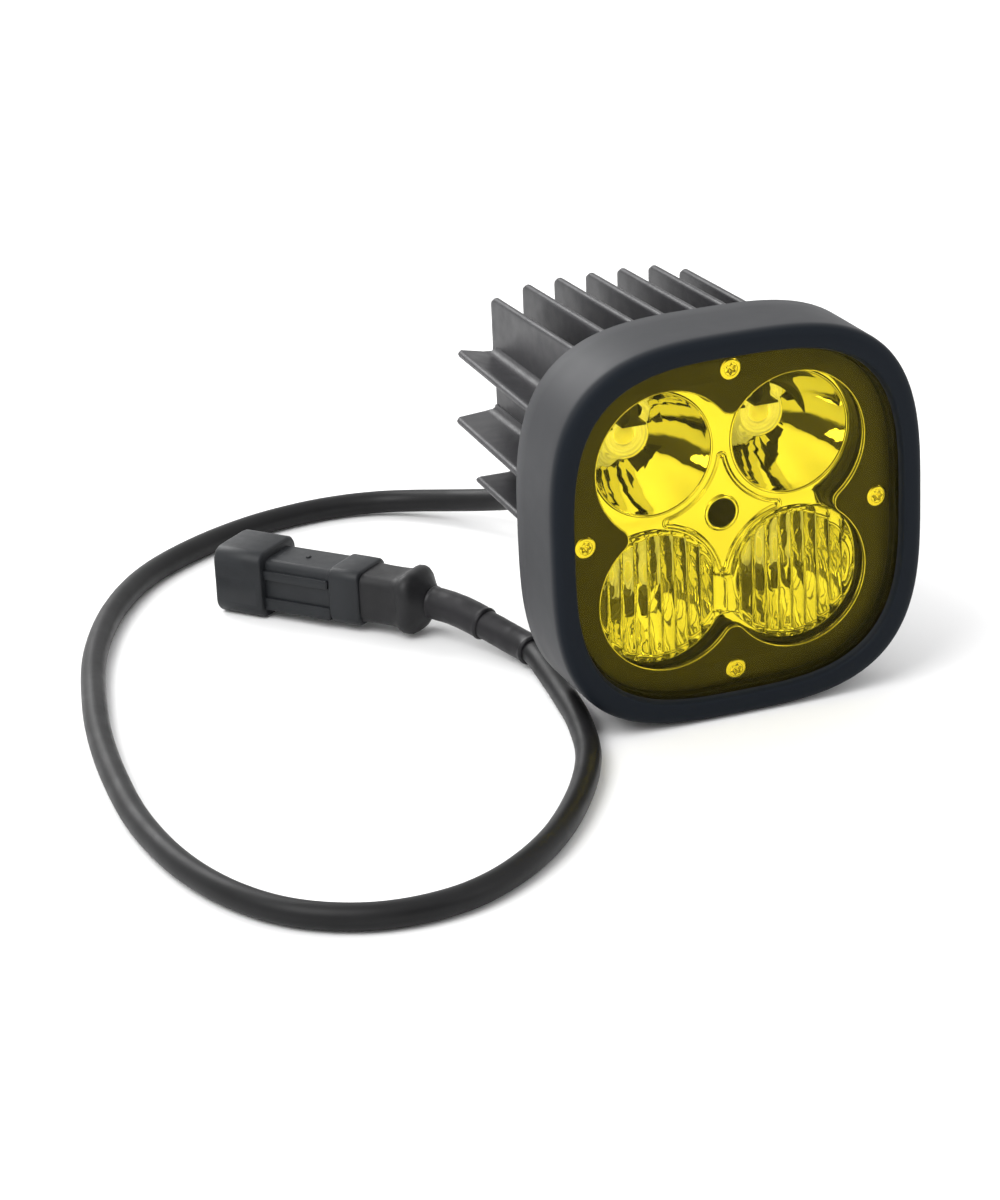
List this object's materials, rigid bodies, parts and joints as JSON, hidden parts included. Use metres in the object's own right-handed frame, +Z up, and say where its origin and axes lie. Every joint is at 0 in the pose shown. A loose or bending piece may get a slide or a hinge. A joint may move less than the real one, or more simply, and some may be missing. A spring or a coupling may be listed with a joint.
{
  "type": "fog light",
  "caption": "Square LED fog light with a pull-off amber guard, finned heat sink, clover-shaped optics and a sealed lead with connector.",
  "frame": {"origin": "under the middle of the light itself (its lead left out), on the plane it stands on", "axes": "+X to the right seen from the front, +Y to the back (the light shines along -Y), +Z up"},
  "size_m": [0.2275, 0.2828, 0.108],
  "materials": {
    "guard_black": "satin black moulded nylon",
    "amber": "clear amber polycarbonate, polished",
    "black_rubber": "matte black rubber",
    "foam": "closed-cell foam",
    "heat_sink": "black powder coat, fine satin texture",
    "insert_steel": "zinc plated steel",
    "plate_black": "satin black paint",
    "screw_steel": "bright stainless steel",
    "clear_lens": "clear hard-coated polycarbonate",
    "shroud_black": "matte black",
    "metallised": "vacuum metallised mirror",
    "fluted_clear": "moulded clear acrylic",
    "dark_steel": "black oxide",
    "board_white": "white solder mask on aluminium",
    "emitter": "phosphor dome",
    "thermal_grey": "soft silicone",
    "zinc_steel": "zinc plated",
    "circuit_green": "solder mask",
    "component_dark": "moulded component",
    "wire_red": "insulated wire",
    "vent_black": "matte moulded",
    "gland_black": "matte moulded nylon",
    "core_white": "insulated wire",
    "lead_black": "semi-matte flexible jacket",
    "sleeve_black": "heat-shrink sleeve, soft sheen",
    "boot_black": "moulded rubber boot",
    "shell_black": "glass-filled nylon, fine grain",
    "seal_orange": "silicone seal",
    "wedge_grey": "moulded lock",
    "contact_gold": "gold flashed"
  },
  "bodies": {
    "light": {"housing": "heat_sink", "fins_top": "heat_sink", "fins_bottom": "heat_sink", "fins_sides": "heat_sink", "mount_inserts": "insert_steel", "retainer_plate": "plate_black", "plate_screws": "screw_steel", "clear_lens": "clear_lens", "lens_gasket": "black_rubber", "lamp_shroud": "shroud_black", "reflector": "metallised", "wide_lens_left": "fluted_clear", "wide_lens_right": "fluted_clear", "reflector_screw": "dark_steel", "led_board": "board_white", "led_emitters": "emitter", "thermal_pad": "thermal_grey", "board_screws": "zinc_steel", "driver_board": "circuit_green", "driver_parts": "component_dark", "driver_wires": "wire_red", "vent_plug": "vent_black", "gland_body": "gland_black", "gland_seal": "black_rubber", "gland_nut": "gland_black", "lead_cores": "core_white", "lead": "lead_black", "sleeve_small": "sleeve_black", "sleeve_large": "sleeve_black", "connector_boot": "boot_black", "connector_shell": "shell_black", "connector_seal": "seal_orange", "connector_wedge": "wedge_grey", "contact_pins": "contact_gold"},
    "guard": {"guard_frame": "guard_black", "amber_window": "amber", "window_gasket": "black_rubber", "guard_pads": "foam"}
  },
  "joints": [
    {"name": "guard_pull", "type": "slide", "parent": "light", "child": "guard", "axis": [0, -1, 0], "range_m": [0, 0.05]}
  ]
}
